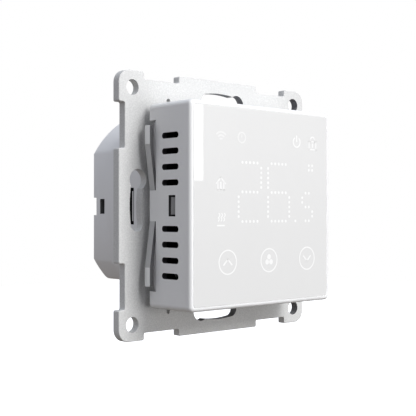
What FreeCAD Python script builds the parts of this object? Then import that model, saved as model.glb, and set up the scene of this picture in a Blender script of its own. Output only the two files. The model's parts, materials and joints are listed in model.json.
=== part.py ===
import FreeCAD, Part
import math
import os

# Flush wall thermostat for fan coils, sizes in millimetres.
# Seen from the front, X runs to the right and Z up. Y runs into the wall.
# The origin is the centre of the mounting plate's back face, which lies on the wall.

os.makedirs("parts", exist_ok=True)

Vec = FreeCAD.Vector
ORIGIN = Vec(0, 0, 0)
INWARD = Vec(0, 1, 0)

# ---------------------------------------------------------------- mounting plate
plate_size = 71.0
plate_thickness = 2.4
ear_width = 8.4
tongue_width = 30.0
notch_depth = 1.95
ear_corner_radius = 3.3
notch_corner_radius = 0.5
plate_edge_round = 0.25
corner_hole_inset = 4.425
corner_hole_diameter = 4.1
box_screw_spacing = 60.0
keyhole_slot_width = 3.9
keyhole_head_diameter = 5.5
keyhole_head_angle = 13.3
keyhole_end_angle = 9.2
plate_seat_depth = 0.3
rivet_hole_diameter = 1.2
rivet_hole_x = 18.85
rivet_hole_z = 28.45

# ---------------------------------------------------------------- front unit shell
unit_size = 53.8
unit_depth = 16.05
unit_gap = 2.0
shell_wall = 1.6
shell_long_edge_round = 1.5
rim_width = 1.1
rim_round = 1.0
ledge_width = 2.9
ledge_thickness = 1.2

vent_length = 6.5
vent_height = 1.55
vent_pitch = 4.05
first_vent_height = 5.95
vents_per_row = 4
vent_setback = 8.3

hook_window_width = 5.46
hook_window_height = 2.6
hook_window_setback = 9.0
hook_width = 4.5
hook_thickness = 1.1
hook_leg_gap = 0.18

# ---------------------------------------------------------------- frame springs
spring_pivot = 4.3
spring_nose_start = 16.1
spring_tip = 21.0
spring_slot_end = 22.4
spring_thickness = 1.0
spring_width = 2.1
spring_slit = 0.4
spring_bow = 1.65
spring_nose_radius = 1.05
spring_nose_height = 0.3
spring_root_clearance = 0.05
spring_inner_room = 1.8

# ---------------------------------------------------------------- touch panel and display
panel_recess = 0.02
film_thickness = 0.15
panel_thickness = 1.65
bond_thickness = 0.15
bond_width = 1.7
panel_fit = 0.06
panel_corner_radius = 0.9
panel_edge_chamfer = 0.12
light_box_depth = 2.5
light_box_fit = 0.3
display_board_thickness = 1.2
display_board_fit = 0.5
gusset_size = 4.8
board_screw_inset = 5.4
board_screw_radius = 0.95
board_screw_fit = 0.05
board_screw_head_radius = 1.7
board_screw_head_height = 1.2
board_screw_length = 3.0

display_shift = 1.6
dot_pitch_x = 1.41
dot_pitch_z = 1.30
dot_bottom_z = -4.1
first_digit_x = -9.93
second_digit_x = 1.21
decimal_x = 12.18
small_digit_x = 15.05
dot_hole_radius = 0.38
light_pocket_depth = 0.5
led_size = 0.9
led_depth = 0.5
led_height = 0.4
touch_circle_side = 6.95
touch_circle_foot = 4.55
touch_spring_radius = 3.0
touch_spring_wall = 0.5
touch_spring_room = 0.4
status_icon_drop = 1.2
icon_column_side = 4.55
icon_well_radius = 2.3

board_part_gap = 0.3
radio_size = (17.0, 13.0)
radio_foot = 3.96
radio_can_size = (12.0, 11.6)
radio_can_shift = 1.5
buzzer_radius = 4.5
buzzer_inset_x = 8.0
buzzer_inset_z = 8.5
sensor_inset = 4.8
sensor_z = -12.0

# ---------------------------------------------------------------- deck of the power unit
deck_size = 48.0
deck_gap = 0.1
deck_corner_radius = 3.0
hub_radius = 27.0
hub_flat = 22.4
hub_top = 24.0
hub_bottom = 19.2
hub_corner = 2.5
hub_wall = 1.5
hub_length = 5.8
hub_fit = 0.25
latch_width = 8.2
latch_front = 5.2
latch_length = 1.1
latch_inset = 0.5
deck_post_radius = 1.5
deck_post_x = 15.0
deck_post_top = 17.0
deck_post_bottom = 14.5
peg_place = 18.0
peg_radius = 1.5
peg_length = 2.2
peg_fit = 0.1

# ---------------------------------------------------------------- rear housing and rear cap
housing_radius = 29.8
housing_flat = 25.4
housing_top = 27.8
housing_bottom = 21.7
housing_corner = 3.0
housing_wall = 1.8
housing_length = 14.4
latch_window_front = 4.4
latch_window_back = 6.4
latch_window_width = 9.9
cap_radius = 28.9
cap_flat = 24.7
cap_top = 26.9
cap_bottom = 21.0
cap_corner = 3.0
cap_wall = 1.5
cap_length = 9.8
cap_window_front = 18.7
cap_window_back = 20.8
cap_window_width = 4.2
pry_notch_width = 5.0
pry_notch_height = 1.6
spigot_fit = 0.1
spigot_wall = 1.2
spigot_length = 2.0
spigot_root = 1.5
cap_tongue_width = 3.2
cap_tongue_inset = 0.8
cap_tongue_end = 20.6

# ---------------------------------------------------------------- power board and its parts
board_thickness = 1.6
board_front = 5.4
board_fit = 0.5
board_ledge_width = 1.6
board_ledge_height = 1.2
board_ledge_x = 17.2
board_ledge_z = 12.0
relay_width = 7.2
relay_length = 20.5
relay_height = 15.2
relay_pitch = 8.0
relay_bottom = 0.0
socket_width = 16.2
socket_height = 5.2
socket_front = -8.4
socket_room = 0.4
socket_pin_depth = 5.5
pin_pitch = 2.54
pin_columns = 6
pin_size = 0.64
pin_room = 0.1
pin_reach = 5.0
header_height = 2.5

# ---------------------------------------------------------------- terminals
pole_pitch = 5.08
pole_count = 6
block_end_wall = 0.6
block_height = 15.5
block_back = -9.3
block_front = -19.3
screw_z = -14.6
cage_travel = 2.4
cage_width = 4.0
cage_wall = 0.6
cage_floor = 0.8
cage_roof = 1.2
cage_length = 5.4
cage_room = 0.1
wire_gap = 2.6
wire_entry_width = 3.2
contact_thickness = 0.8
contact_width = 2.6
contact_leg_width = 1.0
screw_radius = 1.25
screw_fit = 0.05
screw_head_radius = 1.85
screw_head_height = 1.6
screw_slot_width = 0.6
screw_slot_depth = 0.7
screw_shelf = 0.8
driver_hole_radius = 1.95

# ---------------------------------------------------------------- planes worked out from the sizes
y_plate = -plate_thickness
y_unit_back = y_plate - unit_gap
y_unit_front = y_unit_back - unit_depth
y_film = y_unit_front + panel_recess
y_panel = y_film + film_thickness
y_bond = y_panel + panel_thickness
y_ledge = y_bond + bond_thickness
y_display_board = y_ledge + light_box_depth
y_display_board_back = y_display_board + display_board_thickness
y_deck = y_unit_back + deck_gap
y_board_back = board_front + board_thickness
y_housing_end = housing_length
y_cap_end = housing_length + cap_length
y_cap_inside = y_cap_end - cap_wall
y_cover_front = y_unit_back - shell_wall

unit_half = unit_size / 2
shell_inside = unit_half - shell_wall
panel_half = unit_half - rim_width - panel_fit
ledge_inside = unit_half - ledge_width
gusset_inside = ledge_inside - gusset_size
board_screw_place = unit_half - board_screw_inset
touch_circle_spacing = ledge_inside - touch_circle_side - display_shift
touch_circle_z = touch_circle_foot - gusset_inside
status_icon_z = gusset_inside - status_icon_drop
icon_column_x = ledge_inside - icon_column_side - display_shift
keyhole_radius = box_screw_spacing / 2


# ---------------------------------------------------------------- helpers
def block(x, y, z):
    """Box between two values on each axis."""
    return Part.makeBox(x[1] - x[0], y[1] - y[0], z[1] - z[0], Vec(x[0], y[0], z[0]))


def drum(radius, y, x=0.0, z=0.0):
    """Cylinder along Y between two depths."""
    return Part.makeCylinder(radius, y[1] - y[0], Vec(x, y[0], z), INWARD)


def edges_along(shape, axis):
    """Straight edges of a shape that run along one axis."""
    found = []
    for edge in shape.Edges:
        straight = edge.Curve.TypeId == "Part::GeomLine"
        if straight and abs(edge.tangentAt(edge.FirstParameter) * axis) > 0.999:
            found.append(edge)
    return found


def nearest_axis(edge):
    """Smaller of an edge's distances from the upright and level planes through the origin."""
    return min(abs(edge.CenterOfMass.x), abs(edge.CenterOfMass.z))


def square(half, y, corner=0.0):
    """Square slab centred on the Y axis, with rounded corners."""
    slab = block((-half, half), y, (-half, half))
    if corner > 0:
        slab = slab.makeFillet(corner, edges_along(slab, INWARD))
    return slab


def profile(points, direction):
    """Prism of a flat outline, pushed along a direction."""
    wire = Part.makePolygon(points + [points[0]])
    return Part.Face(wire).extrude(direction)


def turned(shape, quarter_turns):
    """Copy turned clockwise about the Y axis, seen from the front."""
    copy = shape.copy()
    copy.rotate(ORIGIN, INWARD, 90 * quarter_turns)
    return copy


def mirrored(shape, normal):
    """Copy on the other side of a plane through the origin."""
    return shape.mirror(ORIGIN, normal)


def cut_all(shape, tools):
    """Shape with every tool taken away."""
    return shape.cut(Part.makeCompound(tools))


def join_all(first, others):
    """One clean solid from pieces that touch or overlap."""
    return first.fuse(others).removeSplitter()


def drum_outline(radius, flat, top, bottom, corner, y):
    """Round body with flats left and right and level cuts above and below."""
    bounds = block((-flat, flat), y, (-bottom, top))
    body = drum(radius, y).common(bounds)
    if corner > 0:
        low = [e for e in edges_along(body, INWARD) if e.BoundBox.ZMax < -bottom + 0.01]
        body = body.makeFillet(corner, low)
    return body


def housing_solid(inset, y):
    """Outline of the rear housing, taken in all round."""
    return drum_outline(housing_radius - inset, housing_flat - inset, housing_top - inset,
                        housing_bottom - inset, housing_corner - min(inset, housing_wall), y)


def cap_solid(inset, y):
    """Outline of the rear cap, taken in all round."""
    return drum_outline(cap_radius - inset, cap_flat - inset, cap_top - inset,
                        cap_bottom - inset, cap_corner - min(inset, cap_wall + spigot_fit), y)


def hub_solid(inset, y):
    """Outline of the deck's hub, taken in all round."""
    return drum_outline(hub_radius - inset, hub_flat - inset, hub_top - inset,
                        hub_bottom - inset, hub_corner - max(inset, 0), y)


# ---------------------------------------------------------------- display layout
def large_digit_dots(left):
    """Dots of a seven-bar digit, five to a bar."""
    dots = []
    for step in range(1, 6):
        for row in (0, 6, 12):
            dots.append((left + step * dot_pitch_x, dot_bottom_z + row * dot_pitch_z))
    for column in (0, 6):
        for row in (1, 2, 3, 4, 5, 7, 8, 9, 10, 11):
            dots.append((left + column * dot_pitch_x, dot_bottom_z + row * dot_pitch_z))
    return dots


def small_digit_dots(left):
    """Dots of the small digit, two to a bar."""
    dots = []
    for step in (1, 2):
        for row in (0, 3, 6):
            dots.append((left + step * dot_pitch_x, dot_bottom_z + row * dot_pitch_z))
    for column in (0, 3):
        for row in (1, 2, 4, 5):
            dots.append((left + column * dot_pitch_x, dot_bottom_z + row * dot_pitch_z))
    return dots


def display_dots():
    """Every dot of the temperature reading."""
    dots = large_digit_dots(first_digit_x) + large_digit_dots(second_digit_x)
    dots += small_digit_dots(small_digit_x)
    dots.append((decimal_x, dot_bottom_z))
    for column in (2, 3):
        for row in (11, 12):
            dots.append((small_digit_x + column * dot_pitch_x, dot_bottom_z + row * dot_pitch_z))
    return dots


def icon_places():
    """Centres of the small symbols: a row above the reading and a column beside it."""
    row = [-icon_column_x, -icon_column_x + 7.5, icon_column_x - 6.7, icon_column_x]
    places = [(display_shift + x, status_icon_z) for x in row]
    places += [(display_shift - icon_column_x, 5.6), (display_shift - icon_column_x, -3.5)]
    return places


def touch_places():
    """Centres of the three touch circles."""
    return [(display_shift + step * touch_circle_spacing, touch_circle_z) for step in (-1, 0, 1)]


# ---------------------------------------------------------------- mounting plate
def keyhole():
    """Left keyhole: an arc slot for a box screw, with the screw head's hole at its upper end."""
    deep = (y_plate - 1, 1)
    half = keyhole_slot_width / 2
    section = [Vec(-keyhole_radius - half, deep[0], 0), Vec(-keyhole_radius + half, deep[0], 0),
               Vec(-keyhole_radius + half, deep[1], 0), Vec(-keyhole_radius - half, deep[1], 0)]
    face = Part.Face(Part.makePolygon(section + [section[0]]))
    face.rotate(ORIGIN, INWARD, -keyhole_end_angle)
    slot = face.revolve(ORIGIN, INWARD, keyhole_end_angle + keyhole_head_angle)
    ends = []
    for angle, radius in ((-keyhole_end_angle, half), (keyhole_head_angle, keyhole_head_diameter / 2)):
        turn = math.radians(angle)
        ends.append(drum(radius, deep, -keyhole_radius * math.cos(turn), keyhole_radius * math.sin(turn)))
    return slot.fuse(ends)


def mounting_plate():
    """Square plate with ears, tongues, keyholes and the opening for the power unit."""
    half = plate_size / 2
    plate = block((-half, half), (y_plate, 0), (-half, half))
    low = tongue_width / 2
    high = half - ear_width
    notches = []
    for turn in range(4):
        for side in ((low, high), (-high, -low)):
            notches.append(turned(block((-half - 1, -half + notch_depth), (y_plate - 1, 1), side), turn))
    plate = cut_all(plate, notches)
    ears = [e for e in edges_along(plate, INWARD) if nearest_axis(e) > half - 0.1]
    plate = plate.makeFillet(ear_corner_radius, ears)
    corners = [e for e in edges_along(plate, INWARD) if nearest_axis(e) < high + 0.1]
    plate = plate.makeFillet(notch_corner_radius, corners)
    rim = [e for e in plate.Edges if e.BoundBox.YMax < y_plate + 0.01]
    plate = plate.makeFillet(plate_edge_round, rim)
    tools = [turned(keyhole(), turn) for turn in range(4)]
    place = half - corner_hole_inset
    for x in (-place, place):
        for z in (-place, place):
            tools.append(drum(corner_hole_diameter / 2, (y_plate - 1, 1), x, z))
    for x in (-rivet_hole_x, rivet_hole_x):
        for z in (-rivet_hole_z, rivet_hole_z):
            tools.append(drum(rivet_hole_diameter / 2, (y_plate - 1, 1), x, z))
    tools.append(hub_solid(-hub_fit, (y_plate - 1, 1)))
    tools.append(housing_solid(-plate_seat_depth, (-plate_seat_depth, 1)))
    return cut_all(plate, tools)


# ---------------------------------------------------------------- front unit
def spring_slot():
    """Room in the shell for one frame spring, with a round seat for its root."""
    y = (y_unit_back - spring_width - spring_slit, y_unit_back + 1)
    centre = unit_half - spring_thickness / 2
    room = block((-unit_half - 1, -shell_inside + 0.2), y, (spring_pivot, spring_slot_end))
    seat = drum(spring_thickness / 2 + spring_root_clearance, y, -centre, spring_pivot)
    return room.fuse(seat)


def frame_spring():
    """Left upper frame spring: an arm that leans out to a low round nose at its tip."""
    y = (y_unit_back - spring_width, y_unit_back)
    centre = unit_half - spring_thickness / 2
    outer = -unit_half - spring_bow
    inner = outer + spring_thickness
    outline = [(-unit_half, spring_pivot), (outer, spring_nose_start), (outer, spring_tip),
               (inner, spring_tip), (inner, spring_nose_start),
               (-unit_half + spring_thickness, spring_pivot)]
    arm = profile([Vec(x, y[0], z) for x, z in outline], Vec(0, spring_width, 0))
    root = drum(spring_thickness / 2, y, -centre, spring_pivot)
    peak = outer - spring_nose_height
    axis = Vec(peak + spring_nose_radius, (y[0] + y[1]) / 2, spring_nose_start)
    nose = Part.makeCylinder(spring_nose_radius, spring_tip - spring_nose_start, axis, Vec(0, 0, 1))
    nose = nose.common(block((peak, inner - 0.1), y, (spring_nose_start, spring_tip)))
    return join_all(arm, [root, nose])


def vent():
    """One slot through the left wall, with round ends."""
    y = y_unit_back - vent_setback
    reach = (vent_length - vent_height) / 2
    x = (-unit_half - 1, -shell_inside + 1)
    half = vent_height / 2
    slot = block(x, (y - reach, y + reach), (-half, half))
    ends = []
    for end in (y - reach, y + reach):
        ends.append(Part.makeCylinder(half, x[1] - x[0], Vec(x[0], end, 0), Vec(1, 0, 0)))
    return slot.fuse(ends)


def front_shell():
    """Square sleeve: rim round the panel, ledge behind it, vents, hook windows and spring slots."""
    shell = square(unit_half, (y_unit_front, y_unit_back), shell_long_edge_round)
    rim = [e for e in shell.Edges if e.BoundBox.YMax < y_unit_front + 0.01]
    shell = shell.makeFillet(rim_round, rim)
    pocket = square(unit_half - rim_width, (y_unit_front - 1, y_ledge), panel_corner_radius)
    throat = square(ledge_inside, (y_ledge - 1, y_unit_back + 1))
    inside = square(shell_inside, (y_ledge + ledge_thickness, y_unit_back + 1))
    shell = cut_all(shell, [pocket, throat, inside])
    gussets = []
    corner = (gusset_inside, ledge_inside + 0.3)
    for turn in range(4):
        gussets.append(turned(block(corner, (y_ledge, y_display_board), corner), turn))
    shell = join_all(shell, gussets)
    tools = []
    for turn in (0, 2):
        tools.append(turned(spring_slot(), turn))
        tools.append(turned(mirrored(spring_slot(), Vec(0, 0, 1)), turn))
    low = y_unit_back - hook_window_setback
    half = hook_window_width / 2
    window = block((-unit_half - 1, -shell_inside + 1),
                   (low - hook_window_height / 2, low + hook_window_height / 2), (-half, half))
    for turn in range(4):
        tools.append(turned(window, turn))
    for row in range(vents_per_row):
        for side in (-1, 1):
            slot = vent()
            slot.translate(Vec(0, 0, side * (first_vent_height + row * vent_pitch)))
            tools.append(slot)
            tools.append(mirrored(slot, Vec(1, 0, 0)))
    for x in (-board_screw_place, board_screw_place):
        for z in (-board_screw_place, board_screw_place):
            bottom = y_display_board_back - board_screw_length - 0.2
            tools.append(drum(board_screw_radius + board_screw_fit, (bottom, y_display_board + 1), x, z))
    return cut_all(shell, tools)


def touch_panel():
    """Acrylic plate that fills the rim."""
    return square(panel_half, (y_panel, y_bond), panel_corner_radius)


def symbol_film():
    """Thin printed film over the whole panel, with a fine chamfer."""
    film = square(panel_half, (y_film, y_panel), panel_corner_radius)
    edge = [e for e in film.Edges if e.BoundBox.YMax < y_film + 0.01]
    return film.makeChamfer(panel_edge_chamfer, edge)


def panel_bond():
    """Square ring of adhesive between the panel and the ledge."""
    ring = square(panel_half, (y_bond, y_ledge), panel_corner_radius)
    return ring.cut(square(panel_half - bond_width, (y_bond - 1, y_ledge + 1)))


def light_box():
    """Light guide block: a hole for each dot, a well for each symbol and a well for each touch spring."""
    half = ledge_inside - light_box_fit
    box = square(half, (y_ledge, y_display_board))
    tools = []
    corner = (gusset_inside - light_box_fit, half + 1)
    for turn in range(4):
        tools.append(turned(block(corner, (y_ledge - 1, y_display_board + 1), corner), turn))
    through = (y_ledge - 1, y_display_board + 1)
    dots = display_dots()
    for x, z in dots:
        tools.append(drum(dot_hole_radius, through, x, z))
    for x, z in icon_places():
        tools.append(drum(icon_well_radius, through, x, z))
    for x, z in touch_places():
        tools.append(drum(touch_spring_radius + touch_spring_room, through, x, z))
    across = (min(x for x, z in dots) - led_size, max(x for x, z in dots) + led_size)
    upright = (min(z for x, z in dots) - led_size, max(z for x, z in dots) + led_size)
    tools.append(block(across, (y_display_board - light_pocket_depth, y_display_board + 1), upright))
    return cut_all(box, tools)


def display_board():
    """Circuit board behind the light guide."""
    board = square(shell_inside - display_board_fit, (y_display_board, y_display_board_back), 1.0)
    through = (y_display_board - 1, y_display_board_back + 1)
    tools = []
    for x in (-board_screw_place, board_screw_place):
        for z in (-board_screw_place, board_screw_place):
            tools.append(drum(board_screw_radius + 0.2, through, x, z))
    return cut_all(board, tools)


def display_leds():
    """Light-emitting diodes, one behind each dot, symbol and touch circle."""
    lamps = []
    level = (y_display_board - led_height, y_display_board)
    wide = led_size / 2
    tall = led_depth / 2
    for x, z in display_dots() + icon_places() + touch_places():
        lamps.append(block((x - wide, x + wide), level, (z - tall, z + tall)))
    return Part.makeCompound(lamps)


def touch_springs():
    """Three contact springs that carry touch from the panel to the board."""
    springs = []
    through = (y_bond - 1, y_display_board + 1)
    for x, z in touch_places():
        sleeve = drum(touch_spring_radius, (y_bond, y_display_board), x, z)
        springs.append(sleeve.cut(drum(touch_spring_radius - touch_spring_wall, through, x, z)))
    return Part.makeCompound(springs)


def display_board_screws():
    """Four self-tapping screws that hold the display board to the gussets."""
    screws = []
    y = y_display_board_back
    recess = (y + board_screw_head_height - 0.5, y + 3)
    for x in (-board_screw_place, board_screw_place):
        for z in (-board_screw_place, board_screw_place):
            head = drum(board_screw_head_radius, (y, y + board_screw_head_height), x, z)
            shank = drum(board_screw_radius, (y - board_screw_length, y), x, z)
            slot = block((x - 1.1, x + 1.1), recess, (z - 0.25, z + 0.25))
            cross = block((x - 0.25, x + 0.25), recess, (z - 1.1, z + 1.1))
            screws.append(cut_all(join_all(head, [shank]), [slot, cross]))
    return Part.makeCompound(screws)


def board_part(x, z, size, height, corner=0.0):
    """Component on the back of the display board, centred at x, z."""
    y = (y_display_board_back, y_display_board_back + height)
    body = block((x - size[0] / 2, x + size[0] / 2), y, (z - size[1] / 2, z + size[1] / 2))
    if corner > 0:
        body = body.makeFillet(corner, edges_along(body, INWARD))
    return body


def radio_module():
    """Radio board with its metal can, beside the upper left screw and above the pin header."""
    left = -board_screw_place + board_screw_head_radius + board_part_gap
    x = left + radio_size[0] / 2
    z = pin_pitch + radio_foot + radio_size[1] / 2
    board = board_part(x, z, radio_size, 0.8)
    can = board_part(x + radio_can_shift, z, radio_can_size, 2.6, 0.6)
    return join_all(board, [can])


def buzzer():
    """Round sounder with its hole, beside the lower right screw."""
    y = (y_display_board_back, y_display_board_back + 4.0)
    x = board_screw_place - buzzer_inset_x
    z = buzzer_inset_z - board_screw_place
    body = drum(buzzer_radius, y, x, z)
    hole = drum(0.8, (y[1] - 0.8, y[1] + 1), x, z)
    return body.cut(hole)


def air_sensor():
    """Temperature bead on two leads, held off the board beside the lower left vents."""
    bead_y = y_display_board_back + 4.2
    x = sensor_inset - shell_inside
    bead = Part.makeSphere(1.1, Vec(x, bead_y, sensor_z))
    leads = [drum(0.25, (y_display_board_back, bead_y), x, sensor_z + side * 0.6) for side in (-1, 1)]
    return join_all(bead, leads)


def header_places():
    """Centres of the twelve pins that join the two units."""
    places = []
    for column in range(pin_columns):
        for row in (-0.5, 0.5):
            places.append(((column - (pin_columns - 1) / 2) * pin_pitch, row * pin_pitch))
    return places


def pin_prisms(size, y):
    """Square prisms at every pin centre."""
    half = size / 2
    return [block((x - half, x + half), y, (z - half, z + half)) for x, z in header_places()]


def header_body():
    """Moulded base of the pin header, on the back of the display board."""
    y = (y_display_board_back, y_display_board_back + header_height)
    body = block((-pin_columns * pin_pitch / 2, pin_columns * pin_pitch / 2), y, (-pin_pitch, pin_pitch))
    return cut_all(body, pin_prisms(pin_size + 0.04, (y[0] - 1, y[1] + 1)))


def header_pins():
    """Pins that reach into the socket of the power unit."""
    return Part.makeCompound(pin_prisms(pin_size, (y_display_board_back, socket_front + pin_reach)))


def cover_hook():
    """Left hook leg of the back cover, caught in the shell's window."""
    outside = -shell_inside + 0.2
    catch = y_unit_back - hook_window_setback + hook_window_height / 2 - 0.15
    half = hook_width / 2
    leg = block((outside, outside + hook_thickness), (y_display_board_back + hook_leg_gap, y_unit_back),
                (-half, half))
    tip = -unit_half + 0.6
    nose = profile([Vec(outside + 0.1, catch, -half), Vec(tip, catch, -half), Vec(tip, catch - 0.65, -half),
                    Vec(outside + 0.1, catch - 2.15, -half)], Vec(0, 0, hook_width))
    return leg.fuse(nose)


def socket_gap(y):
    """Opening that clears the header socket."""
    across = socket_width / 2 + socket_room
    upright = socket_height / 2 + socket_room
    return block((-across, across), y, (-upright, upright))


def back_cover():
    """Rear wall of the front unit with four hook legs, an opening for the socket and two peg holes."""
    cover = square(shell_inside - 0.1, (y_cover_front, y_unit_back), 0.6)
    tools = []
    depth = shell_inside - spring_inner_room
    near = spring_pivot - 0.9
    far = spring_slot_end + 0.5
    through = (y_cover_front - 1, y_unit_back + 1)
    for turn in (0, 2):
        for side in ((near, far), (-far, -near)):
            tools.append(turned(block((-unit_half, -depth), through, side), turn))
    tools.append(socket_gap(through))
    for x in (-peg_place, peg_place):
        tools.append(drum(peg_radius + peg_fit, through, x, x))
    cover = cut_all(cover, tools)
    return join_all(cover, [turned(cover_hook(), turn) for turn in range(4)])


# ---------------------------------------------------------------- power unit
def deck_latch():
    """Left latch of the deck, which reaches through the plate and snaps into the housing's window."""
    half = latch_width / 2
    inside = -hub_flat + hub_wall - 0.3
    back = latch_front + latch_length
    tongue = block((-hub_flat, inside), (y_plate, back), (-half, half))
    tip = -housing_flat + latch_inset
    nose = profile([Vec(-hub_flat + 0.2, latch_front, -half), Vec(tip, latch_front, -half),
                    Vec(tip, latch_front + 0.5, -half), Vec(-housing_flat + housing_wall, back, -half),
                    Vec(-hub_flat + 0.2, back, -half)], Vec(0, 0, latch_width))
    return tongue.fuse(nose)


def deck_cover():
    """Front cover of the power unit: flange on the plate, hub through it, board posts, pegs, latches."""
    flange = square(deck_size / 2, (y_deck, y_plate), deck_corner_radius)
    hub = hub_solid(0, (y_plate, y_plate + hub_length))
    hub = hub.cut(hub_solid(hub_wall, (y_plate - 1, y_plate + hub_length + 1)))
    posts = []
    for x in (-deck_post_x, deck_post_x):
        for z in (-deck_post_bottom, deck_post_top):
            posts.append(drum(deck_post_radius, (y_plate - 0.5, board_front), x, z))
    pegs = [drum(peg_radius, (y_deck - peg_length, y_plate), x, x) for x in (-peg_place, peg_place)]
    latches = [turned(deck_latch(), turn) for turn in (0, 2)]
    deck = join_all(flange, [hub] + posts + pegs + latches)
    return deck.cut(socket_gap((y_deck - 1, y_plate + 1)))


def rear_housing():
    """Round tube with flats for the wall box: latch windows, board ledges, spigot and cap tongues."""
    front = -plate_seat_depth
    tube = housing_solid(0, (front, y_housing_end))
    tube = tube.cut(housing_solid(housing_wall, (front - 1, y_housing_end + 1)))
    root = y_housing_end - spigot_root
    inner_inset = cap_wall + spigot_fit + spigot_wall
    ring_outer = housing_solid(housing_wall - 0.2, (root, y_housing_end))
    spigot_outer = cap_solid(cap_wall + spigot_fit, (root, y_housing_end + spigot_length))
    spigot_inner = cap_solid(inner_inset, (root - 1, y_housing_end + spigot_length + 1))
    spigot = ring_outer.fuse(spigot_outer).cut(spigot_inner)
    room = block((-half_block - 0.5, half_block + 0.5), (root - 1, y_cap_end),
                 (-housing_bottom, block_back + 0.5))
    spigot = spigot.cut(room)
    ledge = housing_solid(housing_wall - 0.2, (y_board_back, y_board_back + board_ledge_height))
    ledge = ledge.cut(housing_solid(housing_wall + board_ledge_width, (y_board_back - 1, y_board_back + 3)))
    seats = []
    for across in ((board_ledge_x, housing_flat), (-housing_flat, -board_ledge_x)):
        seats.append(ledge.common(block(across, (0, y_housing_end), (board_ledge_z, housing_top))))
        seats.append(ledge.common(block(across, (0, y_housing_end), (-housing_bottom, block_back))))
    tongues = []
    inside = cap_flat - cap_wall - spigot_fit
    for side in (-1, 1):
        half = cap_tongue_width / 2
        tip = cap_flat - cap_tongue_inset
        leg = [(inside - spigot_wall, root), (inside, root), (inside, cap_window_front + 0.2),
               (tip, cap_window_front + 0.2), (tip, cap_window_front + 0.7), (inside, cap_tongue_end - 0.1),
               (inside - spigot_wall, cap_tongue_end)]
        tongues.append(profile([Vec(side * x, y, -half) for x, y in leg], Vec(0, 0, cap_tongue_width)))
    housing = join_all(tube, [spigot] + seats + tongues)
    tools = []
    half = latch_window_width / 2
    window = block((-housing_flat - 1, -housing_flat + housing_wall + 0.1),
                   (latch_window_front, latch_window_back), (-half, half))
    tools += [window, mirrored(window, Vec(1, 0, 0))]
    entry = wire_entry_width / 2
    floor = (-housing_bottom - 1, -housing_bottom + housing_wall + 1)
    for x in pole_places():
        tools.append(block((x - entry, x + entry), wire_level, floor))
    return cut_all(housing, tools)


def rear_cap():
    """Rear cap with snap windows, pry notches and holes for the screwdriver."""
    cap = cap_solid(0, (y_housing_end, y_cap_end))
    rear_edge = [e for e in cap.Edges if e.BoundBox.YMin > y_cap_end - 0.01]
    cap = cap.makeFillet(0.5, rear_edge)
    cap = cap.cut(cap_solid(cap_wall, (y_housing_end - 1, y_cap_inside)))
    tools = []
    half = cap_window_width / 2
    notch = pry_notch_width / 2
    window = block((-cap_flat - 1, -cap_flat + cap_wall + 0.1),
                   (cap_window_front, cap_window_back), (-half, half))
    pry = block((-cap_flat - 1, -cap_flat + pry_notch_height),
                (y_cap_end - pry_notch_height, y_cap_end + 1), (-notch, notch))
    for turn in (0, 2):
        tools.append(turned(window, turn))
        tools.append(turned(pry, turn))
    for x in pole_places():
        tools.append(drum(driver_hole_radius, (y_cap_inside - 1, y_cap_end + 1), x, screw_z))
    return cut_all(cap, tools)


def power_board():
    """Circuit board of the power unit, notched for the latches and drilled for the contact legs."""
    inset = housing_wall + board_fit
    board = housing_solid(inset, (board_front, y_board_back))
    tools = []
    half = latch_width / 2 + 0.6
    for x in ((-housing_flat, -hub_flat + hub_wall + 0.1), (hub_flat - hub_wall - 0.1, housing_flat)):
        tools.append(block(x, (board_front - 1, y_board_back + 1), (-half, half)))
    leg = contact_leg_width / 2 + 0.15
    for x in pole_places():
        tools.append(block((x - leg, x + leg), (board_front - 1, y_board_back + 1),
                           (leg_z[0] - 0.15, leg_z[1] + 0.15)))
    return cut_all(board, tools)


def relay(number):
    """One sealed relay with a lip round its base."""
    x = (number - 1.5) * relay_pitch
    z = (relay_bottom, relay_bottom + relay_length)
    half = relay_width / 2
    case = block((x - half + 0.2, x + half - 0.2), (y_board_back, y_board_back + relay_height),
                 (z[0] + 0.2, z[1] - 0.2))
    upright = edges_along(case, INWARD)
    case = case.makeFillet(0.4, upright)
    base = block((x - half, x + half), (y_board_back, y_board_back + 1.2), z)
    return join_all(case, [base])


def transformer():
    """Small wound transformer: a ferrite frame round a bobbin."""
    y = y_board_back
    core = block((-5.5, 5.5), (y + 2.0, y + 10.0), (-6.9, -2.3))
    window = block((-4.3, 4.3), (y + 3.2, y + 8.8), (-8.0, -1.0))
    leg = block((-1.5, 1.5), (y + 2.5, y + 9.5), (-6.9, -2.3))
    winding = drum(3.6, (y + 3.4, y + 8.6), 0, -4.6)
    foot = block((-5.0, 5.0), (y, y + 2.2), (-8.6, -0.6))
    return join_all(core.cut(window), [leg, winding, foot])


def can_capacitor(x, z, radius, height):
    """Round capacitor with a groove near its base and a scored top."""
    y = y_board_back
    can = drum(radius, (y, y + height), x, z)
    groove = drum(radius + 1, (y + 1.4, y + 2.0), x, z).cut(drum(radius - 0.3, (y + 1, y + 3), x, z))
    score = block((x - radius, x + radius), (y + height - 0.2, y + height + 1), (z - 0.15, z + 0.15))
    return cut_all(can, [groove, score])


def varistor():
    """Disc surge protector standing on two leads."""
    y = y_board_back
    disc = Part.makeCylinder(3.5, 3.6, Vec(16.7, y + 4.6, 6.0), Vec(1, 0, 0))
    leads = [drum(0.35, (y, y + 3.0), 18.5, z) for z in (4.0, 8.0)]
    return join_all(disc, leads)


def header_socket():
    """Tall socket that stands on the power board and takes the pins of the front unit."""
    body = block((-socket_width / 2, socket_width / 2), (socket_front, board_front),
                 (-socket_height / 2, socket_height / 2))
    pins = pin_prisms(pin_size + 2 * pin_room, (socket_front - 1, socket_front + socket_pin_depth))
    return cut_all(body, pins)


# ---------------------------------------------------------------- terminals
def pole_places():
    """Centres of the terminal poles across the block."""
    return [(number - (pole_count - 1) / 2) * pole_pitch for number in range(pole_count)]


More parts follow.
